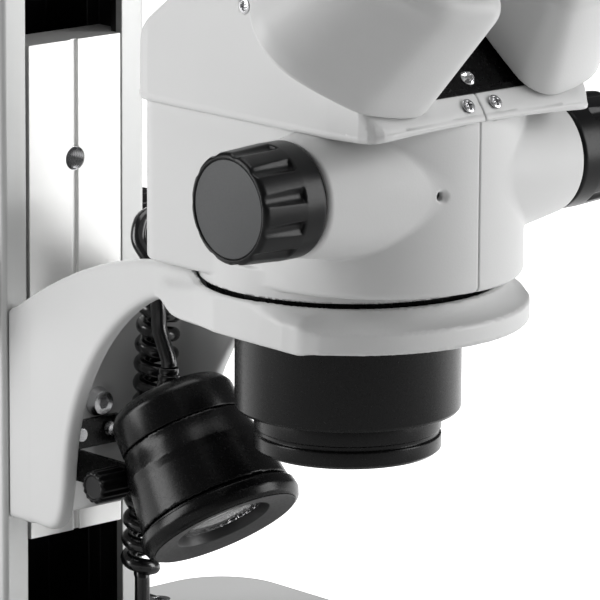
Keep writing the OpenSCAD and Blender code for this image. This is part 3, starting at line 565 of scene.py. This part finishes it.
def arm(p):
    """Two flared side walls, the web between them and the ring."""
    x, y, z = p.T
    ax = np.abs(x)
    n = (ax - ARM_X) * math.cos(FLARE) - (SLIDE_FRONT - y) * math.sin(FLARE)
    along_wall = (SLIDE_FRONT - y) * math.cos(FLARE) + (ax - ARM_X) * math.sin(FLARE)
    r = np.hypot(x, y)
    wall = smax(smax(polygon(along_wall, z, wall_outline), n, 3.0), -n - ARM_WALL, 2.5)
    wall = np.maximum(wall, 53 - r)
    ring = smax(polygon(r, z, ring_outline), polygon(x, y, ring_plan), 1.2)
    web = slab(box2(x, y - 136.5, 29.2, 6.5, 0.5), z, ARM_LOW + 0.5, 26.6, 1.0)
    d = smin(smin(wall, ring, 7.0), web, 3.5)
    d = np.maximum(d, y - SLIDE_FRONT)
    recess = np.maximum(r - RING_SEAT, 56 - z)
    d = smax(d, -recess, 0.5)
    d = np.maximum(d, RING_BORE - r)
    for hole_z in ARM_BOLTS:
        d = np.maximum(d, -np.maximum(np.hypot(x, z - hole_z) - 3.1, 120 - y))
    for hole_x in (-10.4, 4):
        d = np.maximum(d, -np.maximum(np.hypot(x - hole_x, z + 18) - 1.6, 120 - y))
    c, q = math.cos(math.radians(30)), math.sin(math.radians(30))
    clamp = np.maximum(np.hypot(y * c - x * q, z - 49.2) - 3.1, 30 - x * c - y * q)
    return np.maximum(d, -clamp)


solid("holder_arm", arm, (-56, -62, -48.5), (56, 143, 64), 1.0, white, "carriage",
      ["head_holder_arm"])

# ---------------------------------------------------------------- eyepiece housings

# discs [x, up, radius] that a housing's outline wraps, at the sloping face and at its front
POD_BASE = [[31.4, 5.1, 12.1], [44.4, 12.4, 16.5], [52.3, 29.4, 23.3], [37.3, 33.8, 21.8]]
POD_FRONT = [[20.1, 9.6, 9.5], [32.1, 17, 15.2], [38.6, 30.4, 20.4], [30, 33, 20.5]]


def wrap(discs, angles):
    """Smooth support function of the discs and its slope."""
    c, s = np.cos(angles), np.sin(angles)
    h = np.array([x * c + y * s + r for x, y, r in discs])
    g = np.array([-x * s + y * c for x, y, r in discs])
    w = np.exp((h - h.max(0)) / 0.7)
    return h.max(0) + 0.7 * np.log(w.sum(0)) - 0.35, (w * g).sum(0) / w.sum(0)


def pod(side):
    """Eyepiece housing on the sloping face, with its tube and pivot."""
    word = "left" if side < 0 else "right"
    n = 192
    a = np.linspace(0, 2 * math.pi, n, endpoint=False)
    base, front = wrap(POD_BASE, a), wrap(POD_FRONT, a)
    levels = [(0.4, 0, 1.2), (0.55, 0, 0.7), (0.9, 0, 0.3), (1.5, 0, 0.05), (2.2, 0, 0)]
    levels += [(2.2 + (37 - 2.2) * k / 8, k / 8, 0) for k in range(1, 9)]
    levels += [(37 + 7.4 * math.sin(t), 1, 7.4 * (1 - math.cos(t)) * 0.95)
               for t in np.radians([12, 24, 36, 48, 60, 72, 82, 90])]
    rings = []
    for h, t, inset in levels:
        t = min(1, max(0, t))
        value, slope = ((1 - t) * base[k] + t * front[k] for k in (0, 1))
        value = value - inset
        x, y = value * np.cos(a) - slope * np.sin(a), value * np.sin(a) + slope * np.cos(a)
        rings.append(np.stack([side * x, y, np.full(n, h)], 1))
    last = rings[-1]
    centre = last.mean(0)
    for k in (0.66, 0.33):
        rings.append(centre + (last - centre) * k)
    p = np.concatenate(rings)
    points = on_slope(0, 0, 0) + np.stack([p[:, 0], (p[:, 1] - p[:, 2]) * math.sqrt(0.5),
                                           (p[:, 1] + p[:, 2]) * math.sqrt(0.5)], 1)
    m = len(rings)
    i, j = np.meshgrid(np.arange(m - 1), np.arange(n), indexing="ij")
    k = (j + 1) % n
    faces = np.stack([i * n + j, i * n + k, (i + 1) * n + k, (i + 1) * n + j], -1).reshape(-1, 4).tolist()
    faces.append(list(range(n))[::-1])
    faces.append([(m - 1) * n + q for q in range(n)])
    ob = add("pod_" + word, points, faces, white, "eyepiece_unit_" + word, crease=50,
             replaces=["prism_housing_" + word])
    tidy(ob)
    axis = (0, -1, 1)
    turned("pod_tube_" + word, [(15.1, 40, 0), (18.2, 40, 0), (19, 41.5, 0), (19, 51, 0.8), (17, 51, 0.3),
                                (17, 70.9, 0.5), (15.1, 70.9, 0)], on_slope(side * 31, 28, 0), axis, white,
           "eyepiece_unit_" + word, closed=True)
    turned("pod_pivot_" + word, [(2.5, -6, 0), (5.2, -6, 0.4), (5.2, 0.6, 0), (2.5, 0.6, 0)],
           on_slope(side * 44, 18, 0), axis, steel, "eyepiece_unit_" + word, closed=True)


for side in (-1, 1):
    pod(side)

# ---------------------------------------------------------------- zoom knobs


KNOB_R, KNOB_HALF, KNOB_SLOTS, KNOB_BORE = 19.1, 13.1, 11, 4.1


def zoom_knob(side):
    """Slotted grip with a plain disc let into its end."""
    word = "left" if side < 0 else "right"
    x0 = BOSS[side] + 0.4

    def f(p):
        t = p[:, 0] * side - x0
        y, z = p[:, 1] - ZOOM_Y, p[:, 2] - ZOOM_Z
        r = np.hypot(y, z)
        wall = KNOB_R - 0.055 * np.maximum(t - 9, 0)
        d = smax(r - wall, np.abs(t - KNOB_HALF) - KNOB_HALF, 2.0)
        angle = np.arctan2(z, y)
        pitch = 2 * math.pi / KNOB_SLOTS
        local = (angle + pitch / 2) % pitch - pitch / 2
        across, radial = r * np.sin(local), r * np.cos(local)
        slot = smax(np.hypot(across, radial - 20.2) - 2.7, 9.6 - t, 0.8)
        d = smax(d, -slot, 0.7)
        d = smax(d, -smax(r - 16.2, 25.7 - t, 0.3), 0.4)
        return np.maximum(d, KNOB_BORE - r)
    lo, hi = sorted((side * (x0 - 1), side * (x0 + 27.5)))
    solid("zoom_grip_" + word, f, (lo, ZOOM_Y - 20.5, ZOOM_Z - 20.5), (hi, ZOOM_Y + 20.5, ZOOM_Z + 20.5),
          0.55, knob_black, "zoom", ["zoom_knob_" + word])
    turned("zoom_disc_" + word, [(0, 25.2, 0), (15.9, 25.2, 0), (15.9, 25.9, 0.2), (0, 26.05, 0)],
           (side * x0, ZOOM_Y, ZOOM_Z), (side, 0, 0), knob_face, "zoom")


for side in (-1, 1):
    zoom_knob(side)

# ---------------------------------------------------------------- spot lamp

LAMP_Y, LAMP_Z, TILT = 91.4, -0.5, math.radians(36.4)
PIVOT_Y, PIVOT_Z, EAR_X, LUG_R = 98.5, -28.5, -13.3, 7.6
TILT_RIBS = 14
lamp_base = (0, LAMP_Y, LAMP_Z)
lamp_axis = (0, -math.sin(TILT), -math.cos(TILT))


def lamp_body(p):
    """Lamp shell with its lug, the knob's pocket and the hole of the pin."""
    q = p - np.array(lamp_base)
    t = q @ np.array(lamp_axis)
    r = np.sqrt(np.maximum((q * q).sum(1) - t * t, 0))
    profile = ([(0, 13.3), (20.5, 13.3), (22.4, 13.4)]
               + bezier((22.7, 14), (22.8, 17), (24.0, 19.5), (25.1, 23))
               + [(25.3, 26), (27.3, 40.6), (27.0, 41.2), (25.2, 41.2), (22.8, 26), (22.4, 23), (0, 22)])
    d = polygon(r, t, profile)
    lug = np.hypot(p[:, 1] - PIVOT_Y, p[:, 2] - PIVOT_Z) - LUG_R
    lug = smax(lug, np.abs(p[:, 0] + 4) - 7.2, 1.5)
    lug = np.maximum(lug, 13.9 - t)
    inside = np.maximum(r - 22.6, 21.5 - t)
    lug = np.maximum(lug, -inside)
    d = smin(d, lug, 4.0)
    pocket = np.hypot(p[:, 1] - PIVOT_Y, p[:, 2] - PIVOT_Z) - 7.0
    d = smax(d, -np.maximum(pocket, p[:, 0] + 11), 0.8)
    pin = np.maximum(np.hypot(p[:, 1] - PIVOT_Y, p[:, 2] - PIVOT_Z) - 2.2, p[:, 0])
    return np.maximum(d, -pin)


solid("lamp_shell", lamp_body, (-29, 40, -52), (29, 108, 8), 0.8, black, "lamp",
      ["lamp_housing"])
turned("lamp_cap", [(0, -2.8, 0), (9, -2.7, 3), (19.5, -1.6, 6), (22.5, 2.6, 4), (22.8, 13.1, 0.3),
                    (0, 13.1, 0)],
       lamp_base, lamp_axis, black, "lamp", ["lamp_rear_cap"], segments=128)
turned("cord_grommet", [(2.9, 11.1, 0.2), (3.4, 11.1, 0.3), (3.5, 9.4, 0.1), (3.2, 9.2, 0.1), (3.2, 8.6, 0.1),
                        (3.8, 8.4, 0.2), (3.9, 6.8, 0.2), (3.5, 6.6, 0.1), (3.5, 6, 0.1), (4.2, 5.8, 0.2),
                        (4.3, 4.2, 0.2), (3.9, 4, 0.1), (3.9, 3.6, 0), (5.6, 3.4, 0.4), (5.9, 1.5, 0.3),
                        (2.9, 0.5, 0)],
       (0, 91.5, 0), (0, 0, 1), cord_mat, "lamp", closed=True, segments=48)
turned("lamp_bezel_ring", [(22.7, 41.5, 0), (26.4, 41.5, 0.2), (26.4, 42.5, 0.1), (28.6, 42.7, 0.6),
                           (29.2, 46.2, 2.5), (28.0, 49.2, 1.5), (26.6, 49.8, 0.4), (22.7, 49.0, 0),
                           (22.7, 44.4, 0)],
       lamp_base, lamp_axis, black, "lamp", ["lamp_bezel"], segments=128, closed=True)
turned("lamp_front_ring", [(22.8, 44.9, 0), (22.9, 49.3, 0.2), (26.4, 49.95, 0.1), (26.2, 50.1, 0.1),
                           (17.2, 48.6, 0.5), (16.2, 45.0, 0.2), (18, 44.9, 0)],
       lamp_base, lamp_axis, bezel_face, "lamp", segments=128, closed=True)


def flutes(a, t):
    return 1 + 0.012 * np.cos(40 * a)


turned("lamp_mirror", [(3, 24, 0), (10, 27, 3), (17, 33, 3), (19.6, 42.5, 0), (20.4, 42.5, 0),
                       (18, 32.6, 3), (10.6, 26, 3), (3, 23, 0)],
       lamp_base, lamp_axis, chrome, "lamp", ["lamp_reflector"], segments=160, closed=True,
       ribs=flutes)
turned("lamp_lens", [(0, 43.2, 0), (19.4, 43.2, 0.3), (20.4, 44, 0.3), (19.6, 44.7, 0.3), (15.8, 45.2, 1),
                     (0, 46.6, 0)],
       lamp_base, lamp_axis, lens_glass, "lamp", ["lamp_glass"], segments=128)


def tilt_knob(p):
    """Knob with a ribbed rim, its neck and its pin."""
    t = EAR_X - 0.3 - p[:, 0]
    y, z = p[:, 1] - PIVOT_Y, p[:, 2] - PIVOT_Z
    r, a = np.hypot(y, z), np.arctan2(z, y)
    ribs = 0.28 * np.cos(TILT_RIBS * a) * np.clip((t - 2.6) * 2, 0, 1)
    grip = smax(r - 5.6 - ribs, np.abs(t - 8.9) - 6.5, 1.4)
    grip = smax(grip, -np.maximum(r - 4.2, 15.0 - t), 0.3)
    neck = np.maximum(r - 4.3, np.abs(t - 1.6) - 1.6)
    pin = np.maximum(r - 2, np.abs(t + 5) - 6)
    return np.minimum(np.minimum(grip, neck), pin)


solid("tilt_grip", tilt_knob, (-31, 91, -36), (-2, 106, -21), 0.4, knob_black, "tilt_knob",
      ["lamp_tilt_knob"])

# ---------------------------------------------------------------- cord

CORD_R, COIL_R, COIL_PITCH, COIL_START, COIL_RAMP = 2.7, 8.0, 7.2, 2.4, 5
lead_route = [(0, 91.5, 11.4), (-0.1, 91.9, 14.5), (-1, 95.2, 24), (-1, 96, 32), (-1, 97.8, 40.5),
              (-1.2, 100.6, 48), (-2, 105.2, 54.3), (0.8, 107.3, 60), (5.5, 108, 62), (10, 109.4, 59.5),
              (12.2, 110.8, 54), (13.4, 111.6, 47)]
lead = spline(lead_route, 12)
points, faces = tube(lead, CORD_R, 20)
lead_tube = add("lamp_lead", points, faces, cord_mat, None, crease=60,
                replaces=["lamp_cord_lead"])
tidy(lead_tube)
world(lead[0]).tolist()
world(lead[70]).tolist()
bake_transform(lead_tube)
lead_m = world(lead)

axis_route = [(14, 112, 42), (14, 112.6, 28), (14.5, 115, 10), (15, 117, -12), (14.5, 118.5, -32),
              (13.5, 120.3, -52), (13, 121, -72)]
axis_line = spline(axis_route, 60)
step = np.linalg.norm(np.diff(axis_line, axis=0), axis=1)
along = np.concatenate([[0], np.cumsum(step)])
total = along[-1]
turns = total / COIL_PITCH
s = np.linspace(0, total, int(turns * 36))
mid = np.stack([np.interp(s, along, axis_line[:, k]) for k in range(3)], 1)
phase = 2 * math.pi * turns * s / total + COIL_START
wide = (COIL_R - CORD_R) * np.clip(np.minimum(s, total - s) / COIL_RAMP, 0, 1) ** 0.7
coil = mid + np.stack([wide * np.cos(phase), wide * np.sin(phase), 0 * s], 1)
tail = np.array([(13, 121, -72.0 - k) for k in np.linspace(1.2, 10, 8)])
top_end = spline([(13.4, 111.6, 47), (13.8, 111.9, 44.5), coil[0]], 6)[:-1]
coil = np.vstack([top_end, coil, tail])
points, faces = tube(coil, CORD_R, 14)
coil_tube = add("lamp_coil", points, faces, cord_mat, None, crease=60,
                replaces=["lamp_cord_coil"])
tidy(coil_tube)
world((13, 112, 42)).tolist()
world((13, 121, -76)).tolist()
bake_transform(coil_tube)
coil_m = world(coil)

# ---------------------------------------------------------------- objective

turned("objective_shell", [(28, 14.2, 0), (37.2, 14.2, 0.6), (38, 15.4, 0.5), (38, 56.3, 0), (47.4, 56.3, 0),
                           (47.4, 60.2, 0), (34, 60.2, 0), (34, 18, 0), (28, 18, 0)],
       (0, 0, 0), (0, 0, 1), black, "head", ["objective_housing"], segments=160, closed=True)
turned("objective_rim", [(26, 0, 0.2), (30, 0, 0.3), (31.5, 1.2, 0.7), (31.5, 5.8, 0.5), (30.7, 6.3, 0.1),
                         (30.7, 7.5, 0.1), (31.5, 8, 0.4), (31.5, 13.8, 0.3), (24, 13.8, 0), (24, 11.1, 0),
                         (24.6, 11.1, 0), (24.6, 6.9, 0), (24, 6.9, 0), (24, 5, 0), (26, 5, 0)],
       (0, 0, 0), (0, 0, 1), black, "head", ["objective_ring"], segments=160, closed=True)
turned("objective_glass", [(0, 5.6, 0), (12, 6.1, 8), (22, 7.4, 0), (24, 7.6, 0), (24, 10.8, 0),
                           (0, 10.8, 0)],
       (0, 0, 0), (0, 0, 1), chrome, "head", ["objective_lens"], segments=128)

# ---------------------------------------------------------------- screws


def cross_screw(name, centre, axis, radius, dome, body, material=steel):
    """Countersunk head with a cross recess."""
    e3 = np.array(axis, float) / np.linalg.norm(axis)
    e1 = np.cross(e3, (0, 0, 1.0))
    e1 /= np.linalg.norm(e1)
    e2 = np.cross(e3, e1)
    frame_axes = np.stack([e1, e2, e3])
    c = np.array(centre, float)

    def f(p):
        x, y, z = ((p - c) @ frame_axes.T).T
        r = np.hypot(x, y)
        top = z - dome * (1 - (r / radius) ** 2)
        head = smax(smax(r - radius, top, 0.25), -z - 1.2 + np.maximum(r - 1.4, 0) * 0.8, 0.1)
        shank = np.maximum(r - 1.45, np.abs(z + 2) - 2.4)
        wide = 0.2 * radius + 0.12 * np.maximum(z, -0.8)
        cross = np.minimum(np.maximum(np.abs(x) - wide, np.abs(y) - 0.62 * radius),
                           np.maximum(np.abs(y) - wide, np.abs(x) - 0.62 * radius))
        cross = np.maximum(cross, dome - 1.1 - z)
        return smax(np.minimum(head, shank), -cross, 0.12)
    reach = radius + 2.6
    return solid(name, f, c - reach, c + reach, 0.16, material, body)


for side in (-1, 1):
    word = "left" if side < 0 else "right"
    cross_screw("side_screw_" + word, (side * (TOP_W + 0.05), -4.4, 156), (side, 0, 0), 2.6, 0.35, "head")
    cross_screw("front_screw_" + word, on_slope(side * 6, -4.9, 0.4), (0, -0.78, 0.62), 2.5, 0.3, "head")
dome = cross_screw("dome_screw", on_slope(2.5, 6.5, -1.6), (0, -1, 1), 2.9, 1.7, "head", chrome)
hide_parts("head_screws")

# thread of the slider's accessory hole
THREAD_PITCH, THREAD_ROOT, THREAD_CREST = 1.25, 4.2, 3.55
thread = [(THREAD_ROOT, 142.0)]
for k in range(11):
    thread += [(THREAD_CREST, 142.6 + THREAD_PITCH * k), (THREAD_ROOT, 143.2 + THREAD_PITCH * k)]
turned("slider_thread", [(r, y, 0) for r, y in thread] + [(4.24, 156.2, 0), (4.24, 142.0, 0)], (0, 0, 77.5),
       (0, 1, 0), steel, "carriage", segments=48, closed=True, crease=20)

# ---------------------------------------------------------------- materials of the CAD pieces


def paint_channel_shade(material, node, half_width, front):
    """Paints shade into a node's channel: blackens it nearer the middle than half_width and behind front, in
    metres.
    """
    tree = material.node_tree
    local = frame["nodes"][node].matrix_world.inverted() @ Vector((0, front, 0))
    where = tree.nodes.new("ShaderNodeTexCoord")
    parts = tree.nodes.new("ShaderNodeSeparateXYZ")
    tree.links.new(where.outputs["Object"], parts.inputs["Vector"])

    def math_node(operation, a, b=0.0):
        m = tree.nodes.new("ShaderNodeMath")
        m.operation = operation
        for socket, value in zip(m.inputs, (a, b)):
            if isinstance(value, float):
                socket.default_value = value
            else:
                tree.links.new(value, socket)
        return m.outputs[0]

    side = math_node("LESS_THAN", math_node("ABSOLUTE", parts.outputs["X"]), half_width)
    deep = math_node("GREATER_THAN", parts.outputs["Y"], float(local.y))
    mask = math_node("MULTIPLY", side, deep)
    shader = tree.nodes["Principled BSDF"]
    for name, low in (("Base Color", (0.002, 0.002, 0.002, 1)), ("Metallic", 0.0)):
        socket = shader.inputs[name]
        mix = tree.nodes.new("ShaderNodeMix")
        mix.data_type = "RGBA" if name == "Base Color" else "FLOAT"
        a, b = [i for i in mix.inputs if i.enabled and i.name in ("A", "B")]
        if socket.is_linked:
            tree.links.new(socket.links[0].from_socket, a)
        else:
            a.default_value = socket.default_value
        b.default_value = low
        tree.links.new(mask, mix.inputs["Factor"])
        tree.links.new([o for o in mix.outputs if o.enabled][0], socket)


alu = coat("clear_anodised", (0.56, 0.565, 0.56), 0.34, 900, 0.00003, vary=0.02, edge=0.0006, metallic=0.55,
           stretch=(1, 1, 0.03))
slider_mat = coat("brushed_slider", (0.86, 0.86, 0.85), 0.36, 500, 0.00001, vary=0.02, edge=0.0004,
                  metallic=0.6)
glass = coat("opal_glass", (0.8, 0.82, 0.8), 0.15, 300, 0.00001, vary=0.01)
paint = {
    "white_coat": (white_edge, ["base_housing"]),
    "black_coat": (black, ["column_top_cap", "column_foot", "lamp_bracket", "front_plate"]),
    "black_plastic": (knob_black, ["power_inlet", "lamp_socket", "switch_body", "power_rocker",
                                   "dimmer_knob_left", "dimmer_knob_right", "focus_knob_left",
                                   "focus_knob_right", "ring_clamp_screw", "lamp_plug", "diopter_ring_left",
                                   "diopter_ring_right", "eyepiece_left", "eyepiece_right"]),
    "column_alu": (alu, ["column"]),
    "slider_alu": (slider_mat, ["slider"]),
    "steel": (steel, ["base_bottom_plate", "stand_screws", "stage_clip_left", "stage_clip_right",
                      "focus_rack", "carriage_screws", "pinion_shaft", "zoom_shaft", "tension_collar",
                      "head_frame", "zoom_lens_carrier"]),
    "bronze": (bronze, ["pinion_bushes"]),
    "rubber": (rubber, ["rubber_feet"]),
    "frosted_glass": (glass, ["stage_plate", "prism_left", "prism_right"]),
    "led_panel": (panel, ["stage_led_panel"]),
    "board": (board, ["control_board"]),
}
CHANNEL_HALF, CHANNEL_FRONT = 27.6, 145.5
# painted shade: the inside of the column's channel is blackened and made non-metallic where shade falls in it
paint_channel_shade(alu, "column", CHANNEL_HALF * MM, float(world((0, CHANNEL_FRONT, 0))[1]))
for slot_name, (material, names) in paint.items():
    for name in names:
        ob = frame["nodes"][name]
        ob.data.materials.clear()
        ob.data.materials.append(material)

# ---------------------------------------------------------------- floor and light

floor_mesh = bpy.data.meshes.new("floor")
FLOOR, FLOOR_Z = 30, -0.0005
floor_mesh.from_pydata([(-FLOOR, -FLOOR, FLOOR_Z), (FLOOR, -FLOOR, FLOOR_Z), (FLOOR, FLOOR, FLOOR_Z),
                        (-FLOOR, FLOOR, FLOOR_Z)], [], [(0, 1, 2, 3)])
floor = bpy.data.objects.new("floor", floor_mesh)
scene.collection.objects.link(floor)
# the floor glows softly behind the object, so that it fades into the background
ground = Nodes("floor")
ground.set(Base_Color=(0.82, 0.82, 0.82, 1), Roughness=1.0, Specular_IOR_Level=0.0,
           Emission_Color=(1, 1, 1, 1))
spread = ground.new("ShaderNodeTexCoord")
turned_floor = ground.new("ShaderNodeMapping")
turned_floor.inputs["Rotation"].default_value = (0, 0, math.radians(-48))
ground.link(spread.outputs["Object"], turned_floor.inputs["Vector"])
parts = ground.new("ShaderNodeSeparateXYZ")
ground.link(turned_floor.outputs["Vector"], parts.inputs["Vector"])
glow = ground.new("ShaderNodeMapRange", interpolation_type="SMOOTHSTEP")
for socket, value in (("From Min", -0.1), ("From Max", 0.35), ("To Min", 0.0), ("To Max", 1.0)):
    glow.inputs[socket].default_value = value
ground.link(parts.outputs["X"], glow.inputs["Value"])
ground.link(glow.outputs["Result"], ground.shader.inputs["Emission Strength"])
floor_mesh.materials.append(ground.material)


def softbox(name, place, aim, width, height, power):
    """Soft rectangular light at a place, turned to its aim."""
    data = bpy.data.lights.new(name, "AREA")
    data.shape = "RECTANGLE"
    data.size, data.size_y, data.energy = width, height, power
    ob = bpy.data.objects.new(name, data)
    scene.collection.objects.link(ob)
    ob.location = place
    ob.rotation_euler = (Vector(aim) - Vector(place)).to_track_quat("-Z", "Y").to_euler()
    return ob


softbox("key_left", (-1.66, 1.1, 0.75), (0, 0, 0.25), 0.9, 1.4, 28)
softbox("key_right", (1.36, -1.47, 0.75), (0, 0, 0.25), 0.9, 1.4, 27)
softbox("overhead", (0.2, 0.0, 2.2), (0, 0, 0.2), 1.6, 1.6, 22)

sky = bpy.data.worlds.new("studio")
scene.world = sky
sky.use_nodes = True
sky.node_tree.nodes["Background"].inputs["Color"].default_value = (1, 1, 1, 1)
surroundings = sky.node_tree.nodes["Background"]
ray = sky.node_tree.nodes.new("ShaderNodeLightPath")
amount = sky.node_tree.nodes.new("ShaderNodeMapRange")
amount.inputs["To Min"].default_value = 0.12
sky.node_tree.links.new(ray.outputs["Is Camera Ray"], amount.inputs["Value"])
sky.node_tree.links.new(amount.outputs["Result"], surroundings.inputs["Strength"])
scene.view_settings.view_transform = "Standard"
